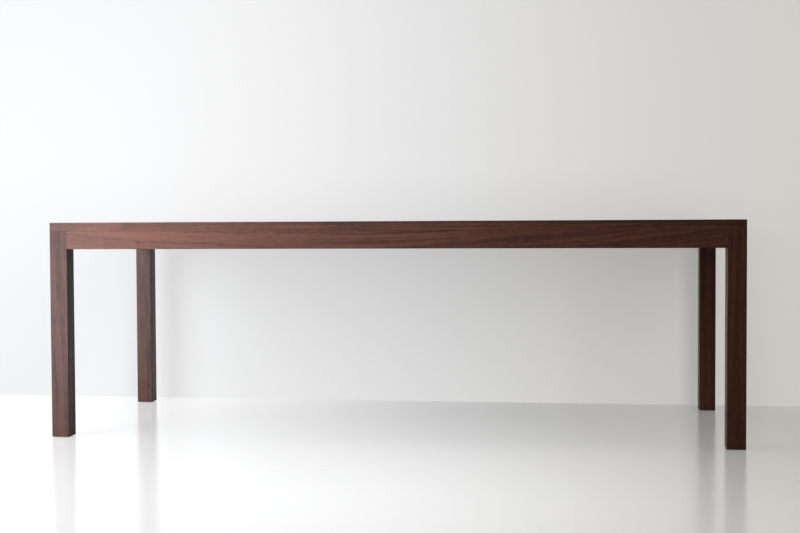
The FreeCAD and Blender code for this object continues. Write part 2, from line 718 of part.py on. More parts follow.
# Clips let in flush with the aprons' upper edges, with a screw down into the apron and one up into the top.
clip_frames = [
    (place_at(*on_outline(sign_x, sign_y), "0", about_z(turn)), x)
    for _, sign_x, sign_y, turn, _, clip_places, _ in aprons for x in clip_places
]
clip_low = f"({FRAME_TOP} - {CLIP_THICKNESS})"
clip_screw = countersunk_screw("clip_screw", "clip_screw_length")
for label, pattern, across, height, turn in (
    ("apron_clips", make_clip(), CLIP_FIXED, clip_low, NO_TURN),
    ("clip_apron_screws", clip_screw, CLIP_FIXED, FRAME_TOP, NO_TURN),
    ("clip_top_screws", clip_screw, CLIP_REACH, clip_low, UPSIDE_DOWN),
):
    repeat(label, pattern, [frame * place_at(x, across, height, turn) for frame, x in clip_frames])

# Rail screws, driven up through each cross rail into every second board, on washers.
rail_washer_low = f"({FRAME_TOP} - rail_seat - rail_washer_thickness)"
rail_screw = domed_screw("rail_screw", f"(rail_washer_thickness + rail_seat + {RAIL_SCREW_BITE})")
rail_washer = washer("rail_washer", "rail_washer_diameter", SCREW_HOLE, "rail_washer_thickness")
for label, pattern, turn in (("rail_screws", rail_screw, UPSIDE_DOWN), ("rail_washers", rail_washer, NO_TURN)):
    repeat(label, pattern, [place_at(x, y, rail_washer_low, turn) for x, y in rail_screws])

# Glides let into the legs' feet, each held by a sunk screw.
leg_middle = "(leg_side / 2)"
glide_screw = countersunk_screw("glide_screw", "glide_screw_length")
for label, pattern, height, turn in (
    ("foot_glides", make_glide(), "0", NO_TURN),
    ("glide_screws", glide_screw, "glide_head_depth", UPSIDE_DOWN),
):
    places = [frame * place_at(leg_middle, leg_middle, height, turn) for frame in corner_frames]
    repeat(label, pattern, places)

# Checks on every object, then one file for each piece.
doc.recompute()
for thing in doc.Objects:
    if "Invalid" in thing.State or "Error" in thing.State:
        raise RuntimeError(f"{thing.Label} failed: {thing.State}")
    if thing.TypeId in ("PartDesign::Pocket", "PartDesign::Hole", "PartDesign::Fillet"):
        if thing.Shape.Volume >= thing.BaseFeature.Shape.Volume:
            raise RuntimeError(f"{thing.Label} cuts nothing")
for piece in pieces:
    if piece.Shape.isNull() or not piece.Shape.isValid():
        raise RuntimeError(f"{piece.Label} has no valid shape")
os.makedirs("parts", exist_ok=True)
for piece in pieces:
    piece.Shape.exportStep(f"parts/{piece.Label}.step")
print(len(pieces), "pieces,", sum(len(piece.Shape.Solids) for piece in pieces), "solids")
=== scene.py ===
"""Looks of a parsons dining table in dark walnut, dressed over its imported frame.

All sizes are in metres, in the frame's own axes: X along the table, Y from the front to the rear, Z up.
"""

import itertools
import json
import math

import bpy
import numpy as np
from mathutils import Euler, Matrix, Vector

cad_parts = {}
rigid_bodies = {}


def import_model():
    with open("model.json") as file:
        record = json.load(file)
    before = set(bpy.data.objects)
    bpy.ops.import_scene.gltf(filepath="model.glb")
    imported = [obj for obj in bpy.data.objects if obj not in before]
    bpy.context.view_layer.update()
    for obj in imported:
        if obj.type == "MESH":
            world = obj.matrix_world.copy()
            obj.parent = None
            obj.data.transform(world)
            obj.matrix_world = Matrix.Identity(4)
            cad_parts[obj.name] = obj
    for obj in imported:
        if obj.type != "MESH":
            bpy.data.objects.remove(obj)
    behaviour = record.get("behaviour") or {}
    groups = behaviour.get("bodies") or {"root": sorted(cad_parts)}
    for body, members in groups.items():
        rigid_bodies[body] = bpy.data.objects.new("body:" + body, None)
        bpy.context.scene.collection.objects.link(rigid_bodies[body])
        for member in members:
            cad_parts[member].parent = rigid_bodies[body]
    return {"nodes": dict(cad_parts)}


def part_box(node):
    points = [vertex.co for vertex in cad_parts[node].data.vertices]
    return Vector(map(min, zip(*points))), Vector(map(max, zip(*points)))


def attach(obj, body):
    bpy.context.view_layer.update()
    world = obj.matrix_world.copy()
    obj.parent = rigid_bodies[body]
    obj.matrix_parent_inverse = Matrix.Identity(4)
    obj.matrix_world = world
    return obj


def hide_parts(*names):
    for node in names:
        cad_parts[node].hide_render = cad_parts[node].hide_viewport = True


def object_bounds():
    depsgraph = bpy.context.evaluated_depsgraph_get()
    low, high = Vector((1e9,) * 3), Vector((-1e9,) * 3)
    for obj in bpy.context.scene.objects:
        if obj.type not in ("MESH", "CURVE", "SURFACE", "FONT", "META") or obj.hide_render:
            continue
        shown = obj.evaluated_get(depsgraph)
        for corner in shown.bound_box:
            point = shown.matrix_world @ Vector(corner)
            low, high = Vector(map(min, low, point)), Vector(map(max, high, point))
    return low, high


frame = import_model()
cad_low, cad_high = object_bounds()

# Legs
# Four square posts of solid black walnut, planed on all faces and rubbed with a satin oil. Their edges are
# eased, the aprons' stub tenons enter two faces, and the inner top corner is cut flat for the hanger bolts.


def add(tree, kind, inputs=None, **settings):
    """Puts a shader node into a tree. An input given as a socket is linked, and any other value is set."""
    made = tree.nodes.new("ShaderNode" + kind)
    for name, value in settings.items():
        setattr(made, name, value)
    for name, value in (inputs or {}).items():
        if isinstance(value, bpy.types.NodeSocket):
            tree.links.new(value, made.inputs[name])
        else:
            made.inputs[name].default_value = value
    return made


def calc(tree, operation, *values):
    """One step of arithmetic in a tree: the result of a Math node."""
    return add(tree, "Math", dict(enumerate(values)), operation=operation).outputs[0]


def vector(tree, operation, *values):
    """One step of vector arithmetic in a tree: the result of a Vector Math node."""
    made = add(tree, "VectorMath", dict(enumerate(values)), operation=operation)
    return made.outputs["Value" if operation == "LENGTH" else "Vector"]


def scaled(tree, direction, factor):
    """A direction times a number that varies over the surface."""
    return add(tree, "VectorMath", {0: direction, "Scale": factor}, operation="SCALE").outputs["Vector"]


def noise(tree, place, per_metre, detail=2.0, roughness=0.5):
    """Noise that repeats about so many times a metre along X, Y and Z."""
    stretched = vector(tree, "MULTIPLY", place, per_metre)
    return add(tree, "TexNoise", {"Vector": stretched, "Scale": 1.0, "Detail": detail,
                                  "Roughness": roughness})


def noise_along(tree, distance, per_metre, seed, detail=2.0):
    """Noise along one distance only."""
    where = calc(tree, "MULTIPLY_ADD", distance, per_metre, seed)
    made = add(tree, "TexNoise", {"W": where, "Scale": 1.0, "Detail": detail}, noise_dimensions="1D")
    return made.outputs[0]


def about_half(tree, value, strength, onto):
    """How far a value is from one half, times a strength, added to another value."""
    return calc(tree, "MULTIPLY_ADD", calc(tree, "SUBTRACT", value, 0.5), strength, onto)


def ramp(tree, value, low, high, to_low=0.0, to_high=1.0):
    """A smooth step: to_low below low, to_high above high."""
    made = add(tree, "MapRange", {"Value": value, "From Min": low, "From Max": high, "To Min": to_low,
                                  "To Max": to_high}, interpolation_type="SMOOTHSTEP")
    return made.outputs["Result"]


def blend(tree, factor, first, second):
    """A mix of two colours."""
    return add(tree, "Mix", {0: factor, 6: first, 7: second}, data_type="RGBA").outputs[2]


def new_group(name, sockets):
    """An empty shader node group with its sockets. Returns the tree, its inputs and its outputs."""
    tree = bpy.data.node_groups.new(name, "ShaderNodeTree")
    for label, side, kind in sockets:
        tree.interface.new_socket(label, in_out=side, socket_type="NodeSocket" + kind)
    given = tree.nodes.new("NodeGroupInput").outputs
    results = tree.nodes.new("NodeGroupOutput").inputs
    return tree, given, results


# How often the wood's marks repeat in a metre, along the trunk and across it
BENDS = (1.1, 6.0, 6.0)
RIPPLES = (9.0, 40.0, 40.0)
PATCHES = (1.6, 14.0, 14.0)
STREAKS = (1.5, 88.0, 88.0)
DASHES = (34.0, 210.0, 210.0)
FIBRES = (4.0, 310.0, 310.0)
FIGURE = (26.0, 9.0, 9.0)
PORES = (90.0, 2400.0, 2400.0)
UNEVEN_YEARS = 45.0
HEART_BANDS = 42.0
# How far noise bends the rings, in metres, and crowds them, in rings
BEND_DEPTH = 0.030
RIPPLE_DEPTH = 0.0050
CROWDING = 3.0
# How much each mark darkens the wood, and the sums at which the wood is lightest and darkest
RING_SHADE = 0.42
BAND_SHADE = 0.32
STREAK_SHADE = 1.75
DASH_SHADE = 1.00
FIBRE_SHADE = 1.20
FIGURE_SHADE = 0.30
SHADE_RANGE = (-0.45, 1.10)
# Roughness of the satin finish, and how pores, fibres and dark wood change it
SATIN = 0.44
PORE_DULLING = 0.16
FIBRE_DULLING = 0.20
DARK_DULLING = 0.12
FIBRE_RELIEF = 0.35


def make_wood_grain():
    """Grain of a log in the log's own place, with X along the trunk and the pith at Y and Z zero.

    A growth ring is a shell at equal distance from the pith. Slow noise bends the shells along the trunk,
    and uneven years crowd or spread them. Each ring darkens outwards and ends in a sharp line. Bands of
    heartwood many rings wide lie over them, with long streaks, short dashes and fibres drawn out along X,
    pores as fine dark lines and a faint figure across the grain. The Drift input is painted shade: a steady
    darkening along the trunk that stands in for light falling off towards one end.
    Pores are sunk, and they and the dark wood are a little rougher than the rest.
    """
    tree, given, results = new_group("wood_grain", (
        ("Place", "INPUT", "Vector"), ("Ring Width", "INPUT", "Float"), ("Seed", "INPUT", "Float"),
        ("Light", "INPUT", "Color"), ("Dark", "INPUT", "Color"), ("Pore Depth", "INPUT", "Float"),
        ("Drift", "INPUT", "Float"),
        ("Color", "OUTPUT", "Color"), ("Roughness", "OUTPUT", "Float"), ("Height", "OUTPUT", "Float")))
    place, seed = given["Place"], given["Seed"]
    middle = (0.5, 0.5, 0.5)
    apart = add(tree, "CombineXYZ", {"X": seed, "Y": seed, "Z": seed}).outputs[0]
    seeded = vector(tree, "ADD", place, apart)

    bends = vector(tree, "SUBTRACT", noise(tree, seeded, BENDS).outputs["Color"], middle)
    ripples = vector(tree, "SUBTRACT", noise(tree, seeded, RIPPLES).outputs["Color"], middle)
    across = vector(tree, "MULTIPLY", place, (0.0, 1.0, 1.0))
    bent = vector(tree, "MULTIPLY_ADD", bends, (0.0, BEND_DEPTH, BEND_DEPTH), across)
    bent = vector(tree, "MULTIPLY_ADD", ripples, (0.0, RIPPLE_DEPTH, RIPPLE_DEPTH), bent)
    radius = vector(tree, "LENGTH", bent)

    uneven = noise_along(tree, radius, UNEVEN_YEARS, seed)
    rings = calc(tree, "MULTIPLY_ADD", uneven, CROWDING, calc(tree, "DIVIDE", radius, given["Ring Width"]))
    late = calc(tree, "POWER", calc(tree, "FRACT", rings), 2.5)
    year = add(tree, "TexWhiteNoise", {"W": calc(tree, "ADD", calc(tree, "FLOOR", rings), seed)},
               noise_dimensions="1D").outputs["Value"]
    ring_shade = calc(tree, "MULTIPLY", late, ramp(tree, year, 0.0, 1.0, to_low=0.15))

    patches = noise(tree, seeded, PATCHES, detail=3.0).outputs[0]
    heart = calc(tree, "MULTIPLY_ADD", patches, 0.5, noise_along(tree, radius, HEART_BANDS, seed, detail=3.0))
    bands = ramp(tree, heart, 0.58, 0.94)
    streaks = noise(tree, seeded, STREAKS, detail=3.0, roughness=0.65).outputs[0]
    dashes = noise(tree, seeded, DASHES, roughness=0.6).outputs[0]
    fibres = noise(tree, seeded, FIBRES, detail=4.0, roughness=0.7).outputs[0]
    figure = noise(tree, seeded, FIGURE).outputs[0]
    pore_noise = noise(tree, seeded, PORES, detail=1.0).outputs[0]
    fewer_late = ramp(tree, late, 0.0, 0.7, to_low=1.0, to_high=0.35)
    pores = calc(tree, "MULTIPLY", ramp(tree, pore_noise, 0.58, 0.70), fewer_late)

    trunk = add(tree, "SeparateXYZ", {0: place}).outputs["X"]
    # Painted shade: the Drift input darkens the wood steadily along X, as light falling off would.
    shade = calc(tree, "MULTIPLY_ADD", trunk, given["Drift"], calc(tree, "MULTIPLY", ring_shade, RING_SHADE))
    shade = calc(tree, "MULTIPLY_ADD", bands, BAND_SHADE, shade)
    for layer, strength in ((streaks, STREAK_SHADE), (dashes, DASH_SHADE), (fibres, FIBRE_SHADE),
                            (figure, FIGURE_SHADE)):
        shade = about_half(tree, layer, strength, shade)
    shade = calc(tree, "MULTIPLY_ADD", pores, given["Pore Depth"], shade)
    shade = ramp(tree, shade, *SHADE_RANGE)
    tree.links.new(blend(tree, shade, given["Light"], given["Dark"]), results["Color"])

    dull = calc(tree, "MULTIPLY_ADD", pores, PORE_DULLING, about_half(tree, fibres, FIBRE_DULLING, SATIN))
    dull = about_half(tree, shade, DARK_DULLING, dull)
    tree.links.new(dull, results["Roughness"])
    relief = calc(tree, "MULTIPLY_ADD", fibres, FIBRE_RELIEF, calc(tree, "MULTIPLY", pores, -1.0))
    tree.links.new(relief, results["Height"])
    return tree


def make_soft_spot():
    """A spot that is 1 at its centre and fades out as a bell curve of the distance over its size."""
    tree, given, results = new_group("soft_spot", (
        ("Place", "INPUT", "Vector"), ("Centre", "INPUT", "Vector"), ("Size", "INPUT", "Vector"),
        ("Mask", "OUTPUT", "Float")))
    apart = vector(tree, "SUBTRACT", given["Place"], given["Centre"])
    away = vector(tree, "LENGTH", vector(tree, "DIVIDE", apart, given["Size"]))
    falling = calc(tree, "EXPONENT", calc(tree, "MULTIPLY", calc(tree, "MULTIPLY", away, away), -1.0))
    tree.links.new(falling, results["Mask"])
    return tree


wood_grain = make_wood_grain()
soft_spot = make_soft_spot()


def new_material(name):
    """A material with its node tree and its shader."""
    material = bpy.data.materials.new(name)
    material.use_nodes = True
    return material, material.node_tree, material.node_tree.nodes["Principled BSDF"]


def put_on(piece, material):
    """Gives a piece one material."""
    piece.data.materials.clear()
    piece.data.materials.append(material)


BUMP_STRENGTH = 0.35
BUMP_HEIGHT = 0.00025
SATIN_SPECULAR = 0.15


def grown(node, turn, pith, light, dark, lean=(0.0, 0.0), sweep=(0.0, 0.0), start=0.0, ring=0.006, seed=0.0,
          drift=0.0, pore_depth=0.40, spots=()):
    """Gives a CAD piece the wood of its own place in a log, as a new material.

    turn brings the grain to X. pith is where the pith lies from the piece's middle, across the grain, lean
    tilts it and sweep bends it with the square of the way along from start. The drift is painted shade: it
    darkens the wood along its way, as light falling off would. spots are its marks.
    """
    material, tree, shader = new_material(node + "_wood")
    low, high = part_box(node)
    turned = Euler((turn[0], turn[1] + lean[0], turn[2] + lean[1]))
    shift = Vector((-start, -pith[0], -pith[1])) - turned.to_matrix() @ ((low + high) / 2)
    there = add(tree, "TexCoord").outputs["Object"]
    place = add(tree, "Mapping", {"Vector": there, "Rotation": turned, "Location": shift}).outputs[0]
    along = add(tree, "SeparateXYZ", {0: place}).outputs["X"]
    place = vector(tree, "SUBTRACT", place, scaled(tree, (0.0, *sweep), calc(tree, "MULTIPLY", along, along)))
    masks = []
    for centre, size, push, darken in spots:
        spot = add(tree, "Group", node_tree=soft_spot)
        tree.links.new(there, spot.inputs["Place"])
        spot.inputs["Centre"].default_value = centre
        spot.inputs["Size"].default_value = size
        place = vector(tree, "ADD", place, scaled(tree, (0.0, 0.0, push), spot.outputs["Mask"]))
        masks.append(calc(tree, "MULTIPLY", spot.outputs["Mask"], darken))
    grain = add(tree, "Group", node_tree=wood_grain)
    tree.links.new(place, grain.inputs["Place"])
    for label, value in (("Ring Width", ring), ("Seed", seed), ("Light", light), ("Dark", dark),
                         ("Pore Depth", pore_depth), ("Drift", drift)):
        grain.inputs[label].default_value = value
    colour = grain.outputs["Color"]
    for mask in masks:
        colour = blend(tree, mask, colour, dark)
    tree.links.new(colour, shader.inputs["Base Color"])
    tree.links.new(grain.outputs["Roughness"], shader.inputs["Roughness"])
    bump = add(tree, "Bump", {"Strength": BUMP_STRENGTH, "Distance": BUMP_HEIGHT,
                             "Height": grain.outputs["Height"]})
    tree.links.new(bump.outputs[0], shader.inputs["Normal"])
    shader.inputs["Specular IOR Level"].default_value = SATIN_SPECULAR
    put_on(frame["nodes"][node], material)


WALNUT_LIGHT = (0.160, 0.0545, 0.0290)
WALNUT_DARK = (0.0275, 0.0082, 0.0046)
GRAIN_ALONG = {"X": (0.0, 0.0, 0.0), "Y": (0.0, 0.0, -math.pi / 2), "Z": (0.0, math.pi / 2, 0.0)}


def walnut(node, along, pith, tone=1.0, **growth):
    """Gives a CAD piece of the table its walnut, lighter or darker by a tone."""
    light, dark = ((*(tone * part for part in colour), 1.0) for colour in (WALNUT_LIGHT, WALNUT_DARK))
    grown(node, GRAIN_ALONG.get(along, along), pith, light, dark, **growth)


def mark(centre, size, push=0.0, darken=0.0):
    """A knot, curl or dark place in a piece, which pushes the grain aside and darkens it."""
    return centre, size, push, darken


front_face = cad_low.y
leg_curl = mark((-1.180, front_face, 0.423), (0.020, 0.030, 0.014), push=0.006, darken=0.25)
walnut("front_left_leg", "Z", pith=(0.055, 0.050), tone=0.52, lean=(0.012, -0.020), ring=0.005, seed=3.1,
       spots=[leg_curl])
walnut("front_right_leg", "Z", pith=(-0.030, 0.085), tone=0.58, lean=(-0.010, 0.015), seed=14.7)
walnut("rear_left_leg", "Z", pith=(0.080, -0.020), tone=0.53, lean=(0.015, 0.010), ring=0.005, seed=25.3)
walnut("rear_right_leg", "Z", pith=(-0.060, -0.050), tone=0.51, lean=(-0.008, -0.020), seed=36.9)

# Aprons
# Four walnut rails on edge under the top, flush with the legs' outer faces and tenoned into them. The front
# one comes from a swept stem, so its grain runs level at the left and climbs towards the right, where
# painted shade darkens it. It is darkened towards its left end, and has a pin knot and a fleck near that
# end, and a swirl past its first third.

knot_place = (-0.889, front_face, 0.7013)
front_marks = [
    mark((-1.156, front_face, 0.711), (0.140, 0.050, 0.060), darken=0.30),
    mark(knot_place, (0.004, 0.030, 0.003), push=0.003, darken=0.70),
    mark(knot_place, (0.030, 0.030, 0.009), push=0.005),
    mark((-0.691, front_face, 0.7220), (0.009, 0.030, 0.004), push=0.002, darken=0.45),
    mark((-0.354, front_face, 0.7104), (0.070, 0.040, 0.018), push=0.014, darken=0.10)]
# Painted shade: this board darkens steadily towards the right.
walnut("front_apron", "X", pith=(0.045, -0.105), tone=0.99, sweep=(0.0, 0.055), start=-0.25, ring=0.0065,
       seed=47.5, drift=0.21, spots=front_marks)
walnut("rear_apron", "X", pith=(-0.060, 0.080), lean=(0.020, 0.010), sweep=(0.0, -0.020), seed=58.2)
walnut("left_apron", "Y", pith=(0.040, -0.080), tone=0.95, lean=(0.015, 0.020), seed=69.4)
walnut("right_apron", "Y", pith=(-0.070, 0.060), lean=(-0.010, 0.020), seed=80.6)

# Corner blocks
# Short walnut braces set across the inside of each corner, mitred to lie on both aprons and drilled for the
# hanger bolts. Their grain runs from apron to apron.

for number, name in enumerate(("front_left", "front_right", "rear_right", "rear_left")):
    slant = (0.0, 0.0, math.radians(45.0 if number % 2 == 0 else -45.0))
    walnut(f"{name}_corner_block", slant, pith=(0.05, 0.04), tone=0.9, lean=(0.03, 0.0),
           seed=91.0 + 11.0 * number)

# Hanger bolts
# Two zinc-plated studs at each corner pull the leg in. A coarse thread holds each in the leg, and a fine one
# carries a washer and a hexagon nut on the corner block's inner face.

STEPS = 36
ROUND = np.linspace(0.0, 2.0 * math.pi, STEPS, endpoint=False)
ZINC_DULL = (0.42, 0.43, 0.45, 1.0)
ZINC_BRIGHT = (0.62, 0.63, 0.62, 1.0)


def make_zinc():
    """Bright zinc plate: metal whose tone and gloss change in soft blotches, with fine rubbed marks."""
    material, tree, shader = new_material("zinc_plate")
    there = add(tree, "TexCoord").outputs["Object"]
    blotches = noise(tree, there, (180.0, 180.0, 180.0), detail=3.0).outputs[0]
    rubbed = noise(tree, there, (900.0, 900.0, 5200.0)).outputs[0]
    tone = ramp(tree, about_half(tree, rubbed, 0.5, blotches), 0.3, 0.7)
    tree.links.new(blend(tree, tone, ZINC_DULL, ZINC_BRIGHT), shader.inputs["Base Color"])
    tree.links.new(ramp(tree, tone, 0.0, 1.0, to_low=0.44, to_high=0.26), shader.inputs["Roughness"])
    bump = add(tree, "Bump", {"Strength": 0.15, "Distance": 0.00005, "Height": rubbed})
    tree.links.new(bump.outputs[0], shader.inputs["Normal"])
    shader.inputs["Metallic"].default_value = 1.0
    return material


def turned_rows(radii, heights):
    """Points of a turned shape, row by row: one radius, or one for each angle, at each height."""
    radii = np.broadcast_to(radii, (len(heights), STEPS))
    levels = np.broadcast_to(np.reshape(heights, (-1, 1)), radii.shape)
    return np.stack([radii * np.cos(ROUND), radii * np.sin(ROUND), levels], axis=2)


def thread(low, high, root, crest, pitch, rows_a_turn, width):
    """Radii and heights of a screw thread.

    The radius climbs from root to crest and falls back over the ridge's width once a pitch, one pitch
    farther for each turn of the angle, and the ridge fades out at both ends.
    """
    heights = np.linspace(low, high, round((high - low) / pitch * rows_a_turn))[:, None]
    from_ridge = np.abs((heights / pitch - ROUND / (2.0 * math.pi)) % 1.0 - 0.5) * pitch
    ridge = np.clip(1.5 - 3.0 * from_ridge / width, 0.0, 1.0)
    fade = np.clip(np.minimum(heights - low, high - heights) / pitch, 0.0, 1.0)
    return root + (crest - root) * ridge * fade, heights[:, 0]


TURN_APART = 2.4
SHARP_EDGE = math.radians(35.0)


def set_pieces(name, rows, feet, axes, node, hollow=False):
    """Copies of a turned shape as one zinc-plated piece that stands for a CAD node.

    Each copy has its foot at a point and its axis along a direction, and is driven to its own angle. Quads
    join neighbouring rows. The end rows have flat caps, or join each other where the shape is hollow.
    """
    feet, axes = np.array(feet), np.array(axes)
    helper = np.where(np.abs(axes[:, 2:]) > 0.9, [[1.0, 0.0, 0.0]], [[0.0, 0.0, 1.0]])
    side = np.cross(helper, axes)
    angle = TURN_APART * np.arange(len(feet))[:, None]
    side = side * np.cos(angle) + np.cross(axes, side) * np.sin(angle)
    frames = np.stack([side, np.cross(axes, side), axes], axis=1)
    points = feet[:, None, :] + rows.reshape(1, -1, 3) @ frames
    ring = np.arange(rows.shape[0] * STEPS).reshape(-1, STEPS)
    lower, upper = (ring, np.roll(ring, -1, axis=0)) if hollow else (ring[:-1], ring[1:])
    next_lower, next_upper = np.roll(lower, -1, axis=1), np.roll(upper, -1, axis=1)
    quads = np.stack([lower, next_lower, next_upper, upper], axis=2).reshape(-1, 4)
    caps = [] if hollow else [ring[0, ::-1], ring[-1]]
    faces = []
    for first in range(0, len(feet) * ring.size, ring.size):
        faces += (quads + first).tolist() + [(cap + first).tolist() for cap in caps]
    mesh = bpy.data.meshes.new(name)
    mesh.from_pydata(points.reshape(-1, 3).tolist(), [], faces)
    mesh.polygons.foreach_set("use_smooth", np.ones(len(mesh.polygons), bool))
    mesh.set_sharp_from_angle(angle=SHARP_EDGE)
    piece = bpy.data.objects.new(name, mesh)
    bpy.context.scene.collection.objects.link(piece)
    put_on(piece, zinc)
    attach(piece, "root")
    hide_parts(node)


zinc = make_zinc()
BOLT_RADIUS = 0.004
BOLT_GRIP = 0.040
BOLT_NECK = 0.006
BOLT_SPARE = 0.006
BOLT_CHAMFER = 0.001
BOLT_POINT = 0.008
BOLT_TIP = 0.0003
THREAD_RUN_OUT = 0.0005
WASHER_THICKNESS = 0.0016
NUT_THICKNESS = 0.0065
NUT_WIDTH = 0.013
bolt_low, bolt_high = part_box("hanger_bolts")
apron_low, apron_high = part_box("front_apron")
block_low, block_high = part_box("front_left_corner_block")
joint_height = (apron_low.z + apron_high.z) / 2
bolt_step = (bolt_high.z - bolt_low.z) / 2 - BOLT_RADIUS
bolt_tip = (bolt_low.x - cad_low.x) * math.sqrt(2.0)
block_face = (block_low.x + block_high.x - 2.0 * cad_low.x) / math.sqrt(2.0)
nut_foot = block_face + WASHER_THICKNESS
bolt_length = nut_foot + NUT_THICKNESS + BOLT_SPARE - bolt_tip
CORNERS = list(itertools.product((-1.0, 1.0), (-1.0, 1.0)))


def make_bolt_rows():
    """A stud: a pointed coarse thread below, a bare neck, and a fine thread with a chamfered end above."""
    neck_top = BOLT_GRIP + BOLT_NECK
    wood, wood_heights = thread(BOLT_TIP, BOLT_GRIP, root=0.70 * BOLT_RADIUS, crest=BOLT_RADIUS, pitch=0.0035,
                                rows_a_turn=8, width=0.0016)
    wood = wood * np.clip(wood_heights[:, None] / BOLT_POINT, 0.04, 1.0)
    neck = np.full((2, STEPS), 0.90 * BOLT_RADIUS)
    neck_heights = [BOLT_GRIP + THREAD_RUN_OUT, neck_top - THREAD_RUN_OUT]
    fine, fine_heights = thread(neck_top, bolt_length - BOLT_CHAMFER, root=0.83 * BOLT_RADIUS,
                                crest=BOLT_RADIUS, pitch=0.00125, rows_a_turn=5, width=0.0009)
    chamfer = np.full((1, STEPS), BOLT_RADIUS - BOLT_CHAMFER)
    heights = np.concatenate([wood_heights, neck_heights, fine_heights, [bolt_length]])
    return turned_rows(np.concatenate([wood, neck, fine, chamfer]), heights)


def make_nut_rows():
    """A hexagon nut: a cone cuts its six sides at both ends, and its bore opens in a small bevel."""
    sector = math.pi / 3.0
    hexagon = NUT_WIDTH / 2.0 / np.cos(ROUND % sector - sector / 2.0)
    from_end = np.array([0.0, 0.0002, 0.0004, 0.0007])
    cone_slope = math.tan(math.radians(60.0))
    cone = 0.96 * NUT_WIDTH / 2.0 + from_end * cone_slope
    cut = np.minimum(hexagon, cone[:, None])
    mouth, bore, bevel = 0.0049, 0.00415, 0.0007
    inside = np.repeat([[mouth], [bore], [bore], [mouth]], STEPS, axis=1)
    inside_heights = [NUT_THICKNESS, NUT_THICKNESS - bevel, bevel, 0.0]
    heights = np.concatenate([from_end, NUT_THICKNESS - from_end[::-1], inside_heights])
    return turned_rows(np.concatenate([cut, cut[::-1], inside]), heights)


def on_diagonals(along):
    """Feet and axes of the bolts and nuts: two at each corner, on level lines inwards at 45 degrees."""
    feet, axes = [], []
    for (sign_x, sign_y), step in itertools.product(CORNERS, (-bolt_step, bolt_step)):
        inwards = Vector((-sign_x, -sign_y, 0.0)).normalized()
        feet.append(Vector((sign_x * cad_high.x, sign_y * cad_high.y, joint_height + step)) + along * inwards)
        axes.append(inwards)
    return feet, axes


set_pieces("threaded_hanger_bolts", make_bolt_rows(), *on_diagonals(bolt_tip), "hanger_bolts")
set_pieces("bevelled_hanger_nuts", make_nut_rows(), *on_diagonals(nut_foot), "hanger_nuts", hollow=True)
put_on(frame["nodes"]["hanger_washers"], zinc)

# Corner block screws
# Zinc-plated wood screws with domed, cross-slotted heads, two through each wing of a corner block into the
# apron behind it.

SHANK_RADIUS = 0.0021
HEAD_RADIUS = 0.0042
DOME_HEIGHT = 0.003
DOME_FLAT_SHARE = 0.62
DOME_RIM_SHARE = 0.35
SLOT_DEPTH = 0.0016
SLOT_EASING = 0.0001
SCREW_POINT = 0.005
SCREW_NECK_SHARE = 0.35
SCREW_FADE_SHARE = 0.02
BLOCK_SCREW_LENGTH = 0.028
SCREW_ALONG_APRON = 0.1139


def make_shank(length, neck_top):
    """Radii and heights of a wood screw below its head: a point, a coarse thread and a bare neck."""
    neck_low = -SCREW_NECK_SHARE * length
    radii, heights = thread(-length, neck_low, root=0.62 * SHANK_RADIUS, crest=SHANK_RADIUS,
                            pitch=0.0019, rows_a_turn=6, width=0.0009)
    radii = radii * np.clip((heights[:, None] + length) / SCREW_POINT, 0.05, 1.0)
    neck = np.full((2, STEPS), 0.75 * SHANK_RADIUS)
    neck_heights = [neck_low + SCREW_FADE_SHARE * length, neck_top]
    return np.concatenate([radii, neck]), np.concatenate([heights, neck_heights])


def make_slot(face):
    """Radii and heights of a cross slot sunk into a head.

    Its mouth is the farther of two crossed bars at each angle, and its walls draw in towards the floor.
    """
    reach, half_width = 0.55 * HEAD_RADIUS, 0.11 * HEAD_RADIUS
    not_zero = 1e-9
    level, upright = np.abs(np.cos(ROUND)) + not_zero, np.abs(np.sin(ROUND)) + not_zero
    mouth = np.maximum(np.minimum(reach / level, half_width / upright),
                       np.minimum(half_width / level, reach / upright))
    radii = np.stack([mouth, 0.95 * mouth, 0.55 * mouth])
    return radii, np.array([face, face - SLOT_EASING, face - SLOT_DEPTH])


def make_screw_rows(length, neck_top, head_radii, head_heights):
    """A wood screw: its shank, the rows of its head and a cross slot in the head's last, flat row."""
    shank, shank_heights = make_shank(length, neck_top)
    slot, slot_heights = make_slot(head_heights[-1])
    head = np.repeat(np.reshape(head_radii, (-1, 1)), STEPS, axis=1)
    return turned_rows(np.concatenate([shank, head, slot]),
                       np.concatenate([shank_heights, head_heights, slot_heights]))


def make_domed_screw(length):
    """A wood screw with its head's seat at height zero. The dome is a quarter ellipse over a low rim."""
    swing = np.linspace(0.0, math.pi / 2.0, 6)
    dome = HEAD_RADIUS * (DOME_FLAT_SHARE + (1.0 - DOME_FLAT_SHARE) * np.cos(swing))
    dome_heights = DOME_HEIGHT * (DOME_RIM_SHARE + (1.0 - DOME_RIM_SHARE) * np.sin(swing))
    return make_screw_rows(length, 0.0, [HEAD_RADIUS, *dome], [0.0, *dome_heights])


screw_low, screw_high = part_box("block_screws")
screw_step = (screw_high.z - screw_low.z) / 2 - HEAD_RADIUS
seat_inset = screw_low.x - cad_low.x + BLOCK_SCREW_LENGTH
feet, axes = [], []
for (sign_x, sign_y), step in itertools.product(CORNERS, (-screw_step, screw_step)):
    for inset_x, inset_y, axis in ((seat_inset, SCREW_ALONG_APRON, (-sign_x, 0.0, 0.0)),
                                   (SCREW_ALONG_APRON, seat_inset, (0.0, -sign_y, 0.0))):
        feet.append((sign_x * (cad_high.x - inset_x), sign_y * (cad_high.y - inset_y), joint_height + step))
        axes.append(axis)
set_pieces("slotted_block_screws", make_domed_screw(BLOCK_SCREW_LENGTH), feet, axes, "block_screws")

# Cross rails
# Three walnut bearers under the top, stub-tenoned into the long aprons. Zinc-plated screws with washers rise
# through their slotted seats into the boards, so that the top can move with the seasons.

